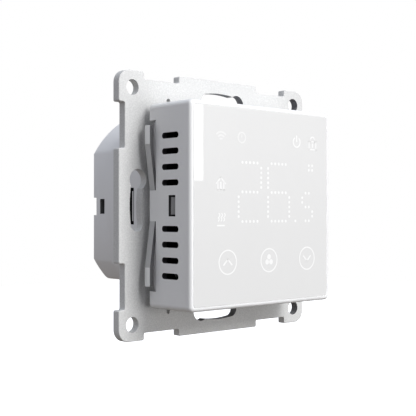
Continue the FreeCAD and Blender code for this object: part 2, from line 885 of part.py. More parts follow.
half_block = pole_pitch * pole_count / 2 + block_end_wall
cage_bottom = y_board_back + 1.0 + cage_room
cage_inner_floor = cage_bottom + cage_floor
contact_level = (cage_inner_floor + wire_gap, cage_inner_floor + wire_gap + contact_thickness)
cage_inner_roof = contact_level[1] + 0.3
cage_top = cage_inner_roof + cage_roof
chamber_top = cage_top + cage_travel + cage_room
shelf_top = chamber_top + screw_shelf
wire_level = (cage_inner_floor, contact_level[0])
cage_z = (screw_z - cage_length / 2, screw_z + cage_length / 2)
leg_z = (cage_z[1] + 0.7, cage_z[1] + 1.5)


def terminal_block():
    """Moulded block with a chamber, a wire entry and a screwdriver hole for each pole."""
    top = y_board_back + block_height
    body = block((-half_block, half_block), (y_board_back, top), (block_front, block_back))
    tools = []
    half = cage_width / 2 + cage_room
    for x in pole_places():
        tools.append(block((x - half, x + half), (cage_bottom - cage_room, chamber_top),
                           (cage_z[0] - cage_room, cage_z[1] + cage_room)))
        entry = wire_entry_width / 2
        tools.append(block((x - entry, x + entry), wire_level, (block_front - 1, cage_z[0])))
        slot = contact_width / 2 + cage_room
        tools.append(block((x - slot, x + slot), (contact_level[0] - 0.1, contact_level[1] + 0.1),
                           (cage_z[1], leg_z[1] + 0.1)))
        leg = contact_leg_width / 2 + cage_room
        tools.append(block((x - leg, x + leg), (y_board_back - 1, contact_level[1]),
                           (leg_z[0] - 0.1, leg_z[1] + 0.1)))
        tools.append(drum(screw_radius + 0.15, (chamber_top - 1, shelf_top + 1), x, screw_z))
        tools.append(drum(driver_hole_radius, (shelf_top, top + 1), x, screw_z))
    return cut_all(body, tools)


def terminal_contacts():
    """Six fixed contact bars, each with a leg through the power board."""
    contacts = []
    for x in pole_places():
        half = contact_width / 2
        bar = block((x - half, x + half), contact_level, (cage_z[0] + 0.1, leg_z[1]))
        leg = contact_leg_width / 2
        pin = block((x - leg, x + leg), (board_front - 1.0, contact_level[1]), leg_z)
        contacts.append(join_all(bar, [pin]))
    return Part.makeCompound(contacts)


def terminal_cage(x):
    """Clamp cage round the contact bar, open at both ends for the wire."""
    half = cage_width / 2
    ring = block((x - half, x + half), (cage_bottom, cage_top), cage_z)
    gap = block((x - half + cage_wall, x + half - cage_wall), (cage_inner_floor, cage_inner_roof),
                (cage_z[0] - 1, cage_z[1] + 1))
    hole = drum(screw_radius + screw_fit, (cage_inner_roof - 1, cage_top + 1), x, screw_z)
    return cut_all(ring, [gap, hole])


def terminal_screw(x):
    """Slotted screw held under the shelf of the block, turning in the cage's roof."""
    head_y = shelf_top + screw_fit
    shank = drum(screw_radius, (contact_level[1] + 0.05, head_y + 0.5), x, screw_z)
    head = drum(screw_head_radius, (head_y, head_y + screw_head_height), x, screw_z)
    top = head_y + screw_head_height
    slot = block((x - screw_head_radius - 1, x + screw_head_radius + 1), (top - screw_slot_depth, top + 1),
                 (screw_z - screw_slot_width / 2, screw_z + screw_slot_width / 2))
    return join_all(head, [shank]).cut(slot)


# ---------------------------------------------------------------- all pieces
pieces = {
    "mounting_plate": mounting_plate(),
    "front_shell": front_shell(),
    "symbol_film": symbol_film(),
    "touch_panel": touch_panel(),
    "panel_bond": panel_bond(),
    "light_box": light_box(),
    "display_board": display_board(),
    "display_leds": display_leds(),
    "touch_springs": touch_springs(),
    "display_board_screws": display_board_screws(),
    "control_chip": board_part(13.0, 11.0, (8.0, 8.0), 1.2),
    "radio_module": radio_module(),
    "buzzer": buzzer(),
    "air_sensor": air_sensor(),
    "header_body": header_body(),
    "header_pins": header_pins(),
    "back_cover": back_cover(),
    "deck_cover": deck_cover(),
    "rear_housing": rear_housing(),
    "rear_cap": rear_cap(),
    "power_board": power_board(),
    "transformer": transformer(),
    "input_capacitor": can_capacitor(-17.0, -4.7, 4.0, 13.5),
    "output_capacitor": can_capacitor(10.6, -4.7, 3.15, 11.0),
    "film_capacitor": block((-21.0, -16.4), (y_board_back, y_board_back + 10.5), (1.5, 14.5)),
    "rectifier": block((-11.6, -7.0), (y_board_back, y_board_back + 2.4), (-7.0, -3.1)),
    "supply_chip": block((15.4, 20.3), (y_board_back, y_board_back + 1.6), (-7.0, -3.1)),
    "varistor": varistor(),
    "fuse": drum(1.8, (y_board_back, y_board_back + 9.5), 18.4, 13.2),
    "header_socket": header_socket(),
    "terminal_block": terminal_block(),
    "terminal_contacts": terminal_contacts(),
}

relay_names = ("relay_low_speed", "relay_medium_speed", "relay_high_speed", "relay_valve")
for number, name in enumerate(relay_names):
    pieces[name] = relay(number)

below = mirrored(frame_spring(), Vec(0, 0, 1))
pieces["frame_spring_left_upper"] = frame_spring()
pieces["frame_spring_left_lower"] = below
pieces["frame_spring_right_lower"] = turned(frame_spring(), 2)
pieces["frame_spring_right_upper"] = turned(below, 2)

for number, place in enumerate(pole_places(), start=1):
    pieces["terminal_cage_%d" % number] = terminal_cage(place)
    pieces["terminal_screw_%d" % number] = terminal_screw(place)

for name, shape in pieces.items():
    if not shape.isValid():
        raise ValueError(name + " is not a valid shape")
    shape.exportStep("parts/" + name + ".step")
    print(name, len(shape.Solids), "solid(s),", round(shape.Volume, 1), "mm3")
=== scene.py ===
import json
import math

import bmesh
import bpy
from bpy.props import FloatProperty, FloatVectorProperty, PointerProperty
from bpy.types import Operator, Panel, PropertyGroup
from mathutils import Matrix, Vector


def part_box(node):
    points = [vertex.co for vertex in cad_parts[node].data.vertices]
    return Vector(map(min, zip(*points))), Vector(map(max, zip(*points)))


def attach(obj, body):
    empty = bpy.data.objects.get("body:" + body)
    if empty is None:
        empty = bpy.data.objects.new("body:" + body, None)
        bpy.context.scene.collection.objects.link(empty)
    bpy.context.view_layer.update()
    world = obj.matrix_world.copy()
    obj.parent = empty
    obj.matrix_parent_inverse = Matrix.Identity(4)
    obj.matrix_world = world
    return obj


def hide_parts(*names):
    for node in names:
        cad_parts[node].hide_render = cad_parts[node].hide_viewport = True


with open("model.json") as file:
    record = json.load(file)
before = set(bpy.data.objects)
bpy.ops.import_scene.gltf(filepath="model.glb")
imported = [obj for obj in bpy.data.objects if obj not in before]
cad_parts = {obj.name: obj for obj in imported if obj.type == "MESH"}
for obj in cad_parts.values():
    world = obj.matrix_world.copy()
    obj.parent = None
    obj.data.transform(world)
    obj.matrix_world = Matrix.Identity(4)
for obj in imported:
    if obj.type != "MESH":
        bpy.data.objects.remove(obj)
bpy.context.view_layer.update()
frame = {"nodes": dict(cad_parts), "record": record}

bl_info = {
    "name": "Wall Thermostat Looks",
    "version": (1, 0, 0),
    "blender": (4, 5, 0),
    "location": "3D View > Sidebar > Thermostat",
    "description": "Finishes the flush wall thermostat: mouldings, display, circuit boards and terminals",
    "category": "Object",
}

MM = 0.001

POWER = "power_unit"
FRONT = "front_unit"
SPRING_PREFIX = "frame_spring_"
SPRINGS = [node[len(SPRING_PREFIX):] for node in frame["nodes"] if node.startswith(SPRING_PREFIX)]
SOFT_INSIDES = ("light_box", "display_board", "touch_springs", "display_board_screws", "control_chip",
                "radio_module", "buzzer", "air_sensor", "header_body", "power_board", "transformer",
                "input_capacitor", "output_capacitor", "film_capacitor", "rectifier", "supply_chip",
                "varistor", "fuse", "header_socket", "terminal_block", "terminal_contacts",
                "relay_low_speed", "relay_medium_speed", "relay_high_speed", "relay_valve")

# Places on the panel's face: symbols from the middle of their layout, the reading from the panel's middle.
TOP_ROW = 18.0 * MM
RADIO_X = -17.85 * MM
TIMER_X = -10.35 * MM
POWER_X = 11.15 * MM
LOCK_X = 17.85 * MM
HOUSE_X = -17.95 * MM
HOUSE_ROW = 5.6 * MM
HEATING_ROW = -3.5 * MM
CIRCLE_ROW = -14.65 * MM
CIRCLE_PITCH = 15.45 * MM
FIRST_DIGIT_X = -9.93 * MM
SECOND_DIGIT_X = 1.21 * MM
POINT_X = 12.18 * MM
SMALL_DIGIT_X = 15.05 * MM

CAMERA_PLACE = (-0.17687, -0.19060, -0.00150)
CAMERA_TARGET = (-0.004305, -0.0024, -0.000484)
FLOOR_LEVEL = -0.30
FLOOR_SIZE = 3.0

SEGMENTS = {
    "2": ("top", "right_upper", "middle", "left_lower", "bottom"),
    "5": ("top", "left_upper", "middle", "right_lower", "bottom"),
    "6": ("top", "left_upper", "left_lower", "middle", "right_lower", "bottom"),
}


# ---------------------------------------------------------------- sizes and colours

def length(name, description, default):
    """A length in metres, shown with its unit."""
    return FloatProperty(name=name, description=description, default=default, min=0.0,
                         precision=5, unit="LENGTH")


def colour(name, description, default):
    """A colour picked in linear light."""
    return FloatVectorProperty(name=name, description=description, default=default,
                               min=0.0, max=1.0, size=3, subtype="COLOR")


class ThermostatSizes(PropertyGroup):
    """Sizes of the pieces that are made here."""
    edge: length("Edge softness", "Radius of the softened edges of a moulding", 0.12 * MM)
    plate_edge: length("Plate edge", "Radius of the plate's punched edges", 0.10 * MM)
    dot: length("Dot diameter", "Diameter of one lit dot of the reading", 0.80 * MM)
    nose: length("Nose length", "Length of the nose at a frame spring's tip", 4.95 * MM)
    print_depth: length("Print depth", "Thickness of the lit symbols on the film", 0.008 * MM)
    column: length("Dot column pitch", "Distance between the columns of dots", 1.41 * MM)
    row: length("Dot row pitch", "Distance between the rows of dots", 1.30 * MM)
    reading_foot: length("Reading foot", "Depth of the lowest row of dots below the centre", 4.10 * MM)
    layout_shift: length("Layout shift", "How far right of the panel's middle the symbols sit", 1.60 * MM)
    ring: length("Touch circle", "Outside diameter of a touch circle", 6.60 * MM)
    ring_line: length("Circle line", "Width of the line of a touch circle", 0.37 * MM)
    symbol_line: length("Symbol line", "Width of the lines of the small symbols", 0.40 * MM)


class ThermostatColours(PropertyGroup):
    """Colours of the finishes."""
    plate: colour("Plate", "Grained mounting plate", (0.66, 0.66, 0.65))
    shell: colour("Shell", "White moulding of the front unit", (0.86, 0.86, 0.86))
    panel: colour("Panel", "Printed face of the touch panel", (0.735, 0.732, 0.722))
    light: colour("Light", "Lit dots and symbols", (1.0, 1.0, 1.0))
    housing: colour("Housing", "White moulding of the power unit", (0.84, 0.84, 0.85))
    board: colour("Circuit board", "Solder resist", (0.02, 0.14, 0.05))
    terminal: colour("Terminal block", "Moulding of the terminals", (0.03, 0.16, 0.07))


class ThermostatStage(PropertyGroup):
    """Camera and light."""
    lens: FloatProperty(name="Lens", description="Focal length of the camera in millimetres",
                        default=78.6, min=10.0, max=300.0)
    front_light: FloatProperty(name="Front light", description="Strength of the soft key light in front",
                               default=10.0, min=0.0, max=50.0)
    fill_light: FloatProperty(name="Fill light", description="Strength of the small low light in front",
                              default=7.4, min=0.0, max=50.0)
    strip_light: FloatProperty(name="Strip light", description="Strength of the light the panel mirrors",
                               default=5.0, min=0.0, max=50.0)


# ---------------------------------------------------------------- finishes

class Wire:
    """One socket of a finish, which Python sums and products can be written with."""

    def __init__(self, finish, socket):
        self.finish = finish
        self.socket = socket

    def _math(self, operation, first, second):
        return self.finish.node("ShaderNodeMath", {"operation": operation}, {0: first, 1: second})

    def __add__(self, other):
        return self._math("ADD", self, other)

    def __radd__(self, other):
        return self._math("ADD", other, self)

    def __sub__(self, other):
        return self._math("SUBTRACT", self, other)

    def __rsub__(self, other):
        return self._math("SUBTRACT", other, self)

    def __mul__(self, other):
        return self._math("MULTIPLY", self, other)

    def __rmul__(self, other):
        return self._math("MULTIPLY", other, self)

    def __gt__(self, other):
        return self._math("GREATER_THAN", self, other)

    def __lt__(self, other):
        return self._math("LESS_THAN", self, other)

    def __abs__(self):
        return self._math("ABSOLUTE", self, 0.0)

    def __mod__(self, other):
        return self._math("FLOORED_MODULO", self, other)


class Finish:
    """A node tree that is being built: a material's or the world's."""

    def __init__(self, owner):
        owner.use_nodes = True
        self.owner = owner
        self.tree = owner.node_tree

    def node(self, kind, settings=None, inputs=None, output=0):
        """Adds a node: its settings first, then its sockets. Gives back one output."""
        made = self.tree.nodes.new(kind)
        for key, value in (settings or {}).items():
            setattr(made, key, value)
        for key, value in (inputs or {}).items():
            if isinstance(value, Wire):
                self.tree.links.new(value.socket, made.inputs[key])
            else:
                made.inputs[key].default_value = value
        return Wire(self, made.outputs[output]) if made.outputs else None

    def place(self):
        """Object coordinates, in metres."""
        return self.node("ShaderNodeTexCoord", output=3)

    def noise(self, size, detail=3.0, roughness=0.5):
        """Noise whose grains are about the given size in metres."""
        return self.node("ShaderNodeTexNoise", {"noise_dimensions": "3D"},
                         {"Vector": self.place(), "Scale": 1.0 / size, "Detail": detail,
                          "Roughness": roughness})

    def cells(self, size):
        """Distance to the nearest of scattered points."""
        return self.node("ShaderNodeTexVoronoi", {"feature": "F1"},
                         {"Vector": self.place(), "Scale": 1.0 / size})

    def blend(self, share, first, second):
        """Colour between two colours."""
        first = (*first, 1.0) if isinstance(first, tuple) else first
        second = (*second, 1.0) if isinstance(second, tuple) else second
        return self.node("ShaderNodeMix", {"data_type": "RGBA"},
                         {0: share, 6: first, 7: second}, output=2)

    def spread(self, value, low, high, to_low, to_high):
        """Value carried from one range to another and held inside it."""
        return self.node("ShaderNodeMapRange", {"clamp": True},
                         {0: value, 1: low, 2: high, 3: to_low, 4: to_high})

    def axis(self, letter):
        """One Object coordinate."""
        return self.node("ShaderNodeSeparateXYZ", {}, {0: self.place()}, output="XYZ".index(letter))

    def bump(self, height, strength, distance):
        """Normal bent by a height."""
        return self.node("ShaderNodeBump", {},
                         {"Strength": strength, "Distance": distance, "Height": height})


def new_finish(name, constants):
    """Material with its constant sockets set; the linked ones follow once its nodes are made."""
    finish = Finish(bpy.data.materials.new(name))
    finish.shader = finish.tree.nodes["Principled BSDF"]
    for key, value in constants.items():
        finish.shader.inputs[key].default_value = value
    return finish


def connect(finish, **wires):
    """Feeds the shader: base, rough, metal, glow or normal."""
    names = {"base": "Base Color", "rough": "Roughness", "metal": "Metallic",
             "glow": "Emission Color", "normal": "Normal"}
    for key, wire in wires.items():
        finish.tree.links.new(wire.socket, finish.shader.inputs[names[key]])
    return finish.owner


def tint(shade, factor):
    """A colour made lighter or darker."""
    return tuple(min(1.0, channel * factor) for channel in shade)


def moulded(name, shade, roughness=0.4, grain=0.06 * MM, relief=0.15, patchiness=0.05, coat=0.0):
    """Moulded plastic: spark-eroded grain, faint flow patches and a slightly uneven gloss."""
    finish = new_finish(name, {"IOR": 1.49, "Coat Weight": coat, "Coat Roughness": 0.05})
    broad = finish.noise(9 * MM, 4.0)
    fine = finish.noise(grain, 2.0, 0.6)
    speck = finish.cells(0.5 * MM)
    base = finish.blend(broad, tint(shade, 1 - patchiness), tint(shade, 1 + patchiness))
    base = finish.blend(finish.spread(speck, 0.02, 0.09, 0.06, 0.0), base, tint(shade, 0.4))
    rough = finish.spread(broad + 0.5 * fine, 0.4, 1.1, roughness - 0.05, roughness + 0.07)
    return connect(finish, base=base, rough=rough, normal=finish.bump(fine, relief, 0.01 * MM))


def grained(name, shade):
    """Coarse sand-like grain of the mounting plate, lighter on its crests."""
    finish = new_finish(name, {"IOR": 1.5})
    broad = finish.noise(14 * MM, 5.0)
    sand = finish.noise(0.34 * MM, 4.0, 0.75)
    pits = finish.cells(0.42 * MM)
    height = sand * 0.75 + pits * 0.35
    base = finish.blend(finish.spread(height, 0.3, 0.8, 0.0, 1.0), tint(shade, 0.84), tint(shade, 1.13))
    base = finish.blend(finish.spread(broad, 0.35, 0.7, 0.0, 0.22), base, tint(shade, 0.86))
    rough = finish.spread(height, 0.3, 0.9, 0.46, 0.66)
    return connect(finish, base=base, rough=rough, normal=finish.bump(height, 0.55, 0.05 * MM))


def metal(name, shade, roughness, stretch):
    """Plated metal with drawn lines along one axis and dull spots."""
    finish = new_finish(name, {"IOR": 1.6})
    lines = finish.node("ShaderNodeTexNoise", {}, {
        "Vector": finish.node("ShaderNodeMapping", {}, {0: finish.place(), 3: stretch}),
        "Scale": 6000.0, "Detail": 3.0})
    spots = finish.noise(1.1 * MM, 4.0)
    base = finish.blend(spots, tint(shade, 0.82), tint(shade, 1.08))
    rough = finish.spread(lines * 0.6 + spots * 0.5, 0.3, 0.8, roughness - 0.08, roughness + 0.14)
    metallic = finish.spread(spots, 0.2, 0.9, 1.0, 0.93)
    return connect(finish, base=base, rough=rough, metal=metallic,
                   normal=finish.bump(lines, 0.12, 0.01 * MM))


def circuit(name, shade):
    """Solder resist over copper: tracks on a fine raster, pads and a glass weave at the edge."""
    finish = new_finish(name, {"IOR": 1.55, "Coat Weight": 0.5, "Coat Roughness": 0.12})
    x = finish.axis("X")
    z = finish.axis("Z")
    wander = finish.noise(5 * MM, 1.0)
    band = finish.noise(3.2 * MM, 0.0) > 0.52
    along = abs((x + wander * (2.2 * MM)) % (1.27 * MM) - 0.635 * MM) < 0.21 * MM
    across = abs((z + wander * (2.2 * MM)) % (1.27 * MM) - 0.635 * MM) < 0.21 * MM
    tracks = band * along + (1 - band) * across
    pads = finish.cells(2.54 * MM) < 0.20
    weave = finish.noise(0.3 * MM, 2.0)
    base = finish.blend(tracks * 0.55, tint(shade, 0.85), tint(shade, 2.3))
    base = finish.blend(pads * 0.9, base, (0.55, 0.53, 0.50))
    base = finish.blend(weave * 0.12, base, tint(shade, 0.5))
    height = tracks * 0.6 + pads + weave * 0.1
    return connect(finish, base=base, rough=finish.spread(pads + weave * 0.3, 0.0, 1.2, 0.30, 0.42),
                   metal=pads * 0.8, normal=finish.bump(height, 0.5, 0.03 * MM))


def lamp(name, shade, ink, strength):
    """Lit print behind the clear face: the panel's own ink with a slightly uneven light through it. The
    same glow also serves as painted light on the shell's pocket walls.
    """
    finish = new_finish(name, {"IOR": 1.49, "Coat Weight": 1.0, "Coat Roughness": 0.015, "Coat IOR": 1.5,
                               "Roughness": 0.33, "Emission Strength": strength})
    cloud = finish.noise(0.5 * MM, 2.0)
    glow = finish.blend(cloud, tint(shade, 0.90), shade)
    base = finish.blend(cloud, tint(ink, 0.99), tint(ink, 1.01))
    return connect(finish, base=base, glow=glow)


def glossy_panel(name, shade):
    """White print behind a clear hard face: almost even, with the faintest ripple in its gloss."""
    finish = new_finish(name, {"IOR": 1.49, "Coat Weight": 1.0, "Coat Roughness": 0.015, "Coat IOR": 1.5})
    broad = finish.noise(22 * MM, 2.0)
    ink = finish.noise(0.09 * MM, 2.0)
    base = finish.blend(broad, tint(shade, 0.985), tint(shade, 1.015))
    base = finish.blend(ink * 0.05, base, tint(shade, 0.9))
    rough = finish.spread(ink, 0.3, 0.7, 0.30, 0.36)
    return connect(finish, base=base, rough=rough)


def foam(name, shade):
    """Closed-cell tape."""
    finish = new_finish(name, {"IOR": 1.45})
    pores = finish.cells(0.12 * MM)
    base = finish.blend(pores, tint(shade, 0.5), tint(shade, 1.5))
    return connect(finish, base=base, rough=finish.spread(pores, 0.0, 0.6, 0.75, 0.95),
                   normal=finish.bump(pores, 0.7, 0.04 * MM))


FINISHES = {}


def make_finishes(colours):
    """Every finish, under the name of the record's material slot that it belongs to."""
    def pick(name):
        return tuple(getattr(colours, name))
    FINISHES.update({
        "plate": grained("plate_grain", pick("plate")),
        "white_shell": moulded("white_shell", pick("shell"), 0.34, 0.05 * MM, 0.10, 0.012, 0.15),
        "grey_housing": moulded("grey_housing", pick("housing"), 0.46, 0.09 * MM, 0.30, 0.03),
        "panel_film": glossy_panel("panel_face", pick("panel")),
        "panel": moulded("panel_acrylic", (0.82, 0.84, 0.85), 0.16, 0.05 * MM, 0.03, 0.01, 0.6),
        "lamp": lamp("lit_print", pick("light"), pick("panel"), 0.17),
        "faint_lamp": lamp("faint_print", pick("light"), pick("panel"), 0.08),
        # Painted shade: near-black colour for the inner faces of the housing, the shell and the cover,
        # where only shade falls.
        "cavity": moulded("unlit_cavity", (0.012, 0.012, 0.013), 0.7, 0.10 * MM, 0.2, 0.10),
        # Painted shade: near-black colour for the walls of the shell's vents and hook windows.
        "vent_wall": moulded("vent_wall", (0.05, 0.05, 0.052), 0.5, 0.10 * MM, 0.2, 0.10),
        "deep_shade": moulded("deep_shade", (0.16, 0.16, 0.165), 0.5, 0.12 * MM, 0.5, 0.25),
        # Painted light: the shell's pocket walls beside the panel glow, though no lamp lights them.
        "edge_glow": lamp("edge_glow", (1.0, 1.0, 1.0), pick("shell"), 0.45),
        # Painted shade: the shell's colour darkened for the spring slots and the arms of the frame
        # springs.
        "slot_wall": moulded("slot_wall", tint(pick("shell"), 0.62), 0.5, 0.12 * MM, 0.5, 0.10),
        # Painted shade: the shell's colour darkened for the hook faces of the back cover.
        "hook_face": moulded("hook_face", tint(pick("shell"), 0.50), 0.5, 0.12 * MM, 0.5, 0.12),
        "adhesive": foam("foam_tape", (0.45, 0.45, 0.45)),
        "light_box": moulded("light_guide", (0.78, 0.78, 0.75), 0.55, 0.08 * MM, 0.2, 0.02),
        "circuit_board": circuit("circuit_board", pick("board")),
        "spring_metal": metal("spring_wire", (0.86, 0.70, 0.38), 0.28, (1.0, 12.0, 1.0)),
        "steel": metal("zinc_plate", (0.66, 0.66, 0.64), 0.30, (10.0, 1.0, 1.0)),
        "plated_brass": metal("plated_brass", (0.80, 0.68, 0.42), 0.26, (1.0, 14.0, 1.0)),
        "shield_can": metal("tinned_can", (0.72, 0.72, 0.71), 0.34, (1.0, 1.0, 9.0)),
        "chip": moulded("chip_epoxy", (0.018, 0.018, 0.020), 0.52, 0.05 * MM, 0.35, 0.10),
        "black_plastic": moulded("black_moulding", (0.022, 0.022, 0.023), 0.42, 0.06 * MM, 0.2, 0.08),
        "sensor_bead": moulded("epoxy_bead", (0.05, 0.035, 0.025), 0.22, 0.20 * MM, 0.15, 0.15, 0.5),
        "ferrite": moulded("ferrite", (0.045, 0.045, 0.050), 0.50, 0.12 * MM, 0.5, 0.20),
        "capacitor_sleeve": moulded("capacitor_sleeve", (0.02, 0.03, 0.08), 0.25, 0.30 * MM, 0.08,
                                    0.10, 0.4),
        "film_capacitor": moulded("film_capacitor", (0.62, 0.40, 0.05), 0.34, 0.07 * MM, 0.2, 0.05),
        "varistor": moulded("varistor_coat", (0.03, 0.10, 0.33), 0.24, 0.40 * MM, 0.3, 0.08, 0.6),
        "fuse": moulded("fuse_sleeve", (0.10, 0.03, 0.02), 0.28, 0.30 * MM, 0.1, 0.10, 0.4),
        "terminal_plastic": moulded("terminal_moulding", pick("terminal"), 0.38, 0.06 * MM, 0.2, 0.04),
        "relay_case": moulded("relay_case", (0.020, 0.020, 0.022), 0.30, 0.10 * MM, 0.12, 0.06, 0.2),
    })


def slot_of(node):
    """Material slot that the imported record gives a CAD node."""
    for entry in frame["record"]["subparts"]:
        if entry["node"] == node:
            return entry["material_slot"]
    raise ValueError("no material slot for " + node)


def body_of(node):
    """Body that a CAD node rides on."""
    for body, nodes in frame["record"]["behaviour"]["bodies"].items():
        if node in nodes:
            return body
    raise ValueError("no body for " + node)


# ---------------------------------------------------------------- mesh helpers

def finished(bm, name, body, slot, replaces=(), sharp=35.0):
    """Object made from a bmesh: smooth but for its sharp edges, with its finish, riding on its body."""
    mesh = bpy.data.meshes.new(name)
    bm.to_mesh(mesh)
    bm.free()
    for face in mesh.polygons:
        face.use_smooth = True
    mesh.set_sharp_from_angle(angle=math.radians(sharp))
    mesh.materials.append(FINISHES[slot])
    piece = bpy.data.objects.new(name, mesh)
    bpy.context.scene.collection.objects.link(piece)
    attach(piece, body)
    if replaces:
        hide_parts(*replaces)
    return piece


def merged_copy(node):
    """Closed bmesh of a CAD node, with its doubles merged and its flat faces made whole."""
    bm = bmesh.new()
    bm.from_mesh(frame["nodes"][node].data)
    bmesh.ops.remove_doubles(bm, verts=bm.verts, dist=0.0005 * MM)
    bmesh.ops.dissolve_limit(bm, angle_limit=math.radians(0.2), verts=bm.verts, edges=bm.edges)
    return bm


def soften(piece, width, segments=2, angle=40.0):
    """Small rounding of a piece's sharp edges, as a moulding tool leaves it."""
    edges = piece.modifiers.new("soft_edges", "BEVEL")
    edges.width = width
    edges.segments = segments
    edges.limit_method = "ANGLE"
    edges.angle_limit = math.radians(angle)
    edges.harden_normals = True
    edges.use_clamp_overlap = True
    return piece


def moulding(node, name, body, width):
    """A CAD node's shape with softened edges, standing for that node."""
    piece = finished(merged_copy(node), name, body, slot_of(node), (node,))
    return soften(piece, width)


def shade(piece, finish, picked):
    """A further finish on the faces that a test picks out."""
    piece.data.materials.append(FINISHES[finish])
    place = len(piece.data.materials) - 1
    for face in piece.data.polygons:
        if picked(face):
            face.material_index = place


def faces_axis(face):
    """True for a wall that looks towards the object's depth axis."""
    reach = Vector((face.center.x, 0, face.center.z))
    return reach.length > 0 and face.normal.dot(reach.normalized()) < -0.5


def dress(node):
    """Finish for a CAD node that keeps its own mesh."""
    thing = frame["nodes"][node]
    thing.data.materials.clear()
    thing.data.materials.append(FINISHES[slot_of(node)])
    for face in thing.data.polygons:
        face.material_index = 0


# ---------------------------------------------------------------- flat symbols

class Print:
    """Flat lit print, built up in the panel's plane from bars, discs and arcs and given a thickness."""

    def __init__(self, level, depth):
        self.bm = bmesh.new()
        self.level = level
        self.depth = depth

    def _thicken(self, faces):
        """Gives flat faces their thickness, towards the viewer."""
        raised = bmesh.ops.extrude_face_region(self.bm, geom=faces)["geom"]
        corners = [part for part in raised if isinstance(part, bmesh.types.BMVert)]
        bmesh.ops.translate(self.bm, verts=corners, vec=(0, -self.depth, 0))

    @staticmethod
    def _faces_at(corners):
        """Faces that meet at the given corners, each listed once."""
        return list(dict.fromkeys(face for corner in corners for face in corner.link_faces))

    def disc(self, x, z, radius, sides=12):
        """Filled circle."""
        made = bmesh.ops.create_circle(self.bm, cap_ends=True, segments=sides, radius=radius)["verts"]
        bmesh.ops.rotate(self.bm, verts=made, matrix=Matrix.Rotation(math.pi / 2, 3, "X"))
        bmesh.ops.translate(self.bm, verts=made, vec=(x, self.level, z))
        self._thicken(self._faces_at(made))

    def bar(self, start, end, width):
        """Straight bar with round ends."""
        (x0, z0), (x1, z1) = start, end
        run = math.hypot(x1 - x0, z1 - z0)
        lean = math.atan2(z1 - z0, x1 - x0)
        self.arc(x0, z0, width / 2, width, lean + math.pi / 2, lean + 3 * math.pi / 2, 6)
        self.arc(x1, z1, width / 2, width, lean - math.pi / 2, lean + math.pi / 2, 6)
        made = bmesh.ops.create_grid(self.bm, x_segments=1, y_segments=1, size=0.5)["verts"]
        bmesh.ops.scale(self.bm, verts=made, vec=(run, width, 1))
        bmesh.ops.rotate(self.bm, verts=made, matrix=Matrix.Rotation(lean, 3, "Z"))
        bmesh.ops.rotate(self.bm, verts=made, matrix=Matrix.Rotation(math.pi / 2, 3, "X"))
        bmesh.ops.translate(self.bm, verts=made, vec=((x0 + x1) / 2, self.level, (z0 + z1) / 2))
        self._thicken(self._faces_at(made))

    def arc(self, x, z, radius, width, start, end, steps=24):
        """Ring segment whose outside has the given radius; angles run from +X towards +Z."""
        inner = max(radius - width, 0.0002 * MM)
        a = self.bm.verts.new((x + inner * math.cos(start), self.level, z + inner * math.sin(start)))
        b = self.bm.verts.new((x + radius * math.cos(start), self.level, z + radius * math.sin(start)))
        line = self.bm.edges.new((a, b))
        whole = abs(end - start) > 2 * math.pi - 0.001
        made = bmesh.ops.spin(self.bm, geom=[a, b, line], cent=(x, self.level, z), axis=(0, -1, 0),
                              angle=end - start, steps=steps, use_merge=whole)["geom_last"]
        around = [a, b] + [part for part in made if isinstance(part, bmesh.types.BMVert)]
        self._thicken(self._island(around))

    def _island(self, corners):
        """Every face joined to the given corners."""
        seen = dict.fromkeys(corners)
        edge = list(seen)
        while edge:
            for face in edge.pop().link_faces:
                fresh = [corner for corner in face.verts if corner not in seen]
                seen.update(dict.fromkeys(fresh))
                edge.extend(fresh)
        return self._faces_at(seen)

    def outline(self, points, width):
        """Closed or open line drawn as bars."""
        for start, end in zip(points, points[1:]):
            self.bar(start, end, width)

    def finish(self, name, faint=False):
        """Object of the print, with its faces turned outwards."""
        bmesh.ops.recalc_face_normals(self.bm, faces=self.bm.faces)
        piece = finished(self.bm, name, FRONT, "lamp")
        if faint:
            piece.data.materials[0] = FINISHES["faint_lamp"]
        return piece


def new_print(sizes):
    """Print that starts on the film's front face."""
    low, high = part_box("symbol_film")
    return Print(low.y, sizes.print_depth)


def digit_dots(figure, left, foot, sizes, across, up):
    """Dots of one figure: across and up count the dots of a bar between its corners."""
    wide = across + 1
    half = up + 1
    spans = {
        "bottom": [(step, 0) for step in range(1, wide)],
        "middle": [(step, half) for step in range(1, wide)],
        "top": [(step, 2 * half) for step in range(1, wide)],
        "left_lower": [(0, step) for step in range(1, half)],
        "right_lower": [(wide, step) for step in range(1, half)],
        "left_upper": [(0, half + step) for step in range(1, half)],
        "right_upper": [(wide, half + step) for step in range(1, half)],
    }
    return [(left + column * sizes.column, foot + row * sizes.row)
            for bar in SEGMENTS[figure] for column, row in spans[bar]]


# ---------------------------------------------------------------- operators

class ThermostatOperator:
    """What every operator of the thermostat shares."""
    bl_options = {"REGISTER", "UNDO"}

    @property
    def sizes(self):
        return bpy.context.scene.thermostat_sizes


class THERMOSTAT_OT_finishes(ThermostatOperator, Operator):
    """Make every finish"""
    bl_idname = "thermostat.finishes"
    bl_label = "Finishes"

    def execute(self, context):
        make_finishes(context.scene.thermostat_colours)
        return {"FINISHED"}


class THERMOSTAT_OT_mounting_plate(ThermostatOperator, Operator):
    """Make the grained mounting plate"""
    bl_idname = "thermostat.mounting_plate"
    bl_label = "Mounting plate"

    def execute(self, context):
        plate = moulding("mounting_plate", "plate_body", POWER, self.sizes.plate_edge)
        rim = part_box("mounting_plate")[1].x - 1.6 * MM
        keyhole_half = rim - 20 * MM
        keyhole_inner = rim - 10 * MM
        corner_inner = rim - 6 * MM

        def in_hole(face):
            """True on the walls of the upper and lower keyholes and of the right corner holes."""
            across, along = face.center.x, abs(face.center.z)
            keyhole = abs(across) < keyhole_half and keyhole_inner < along < rim
            corner = corner_inner < across < rim and corner_inner < along < rim
            return abs(face.normal.y) < 0.5 and (keyhole or corner)

        shade(plate, "deep_shade", in_hole)
        return {"FINISHED"}


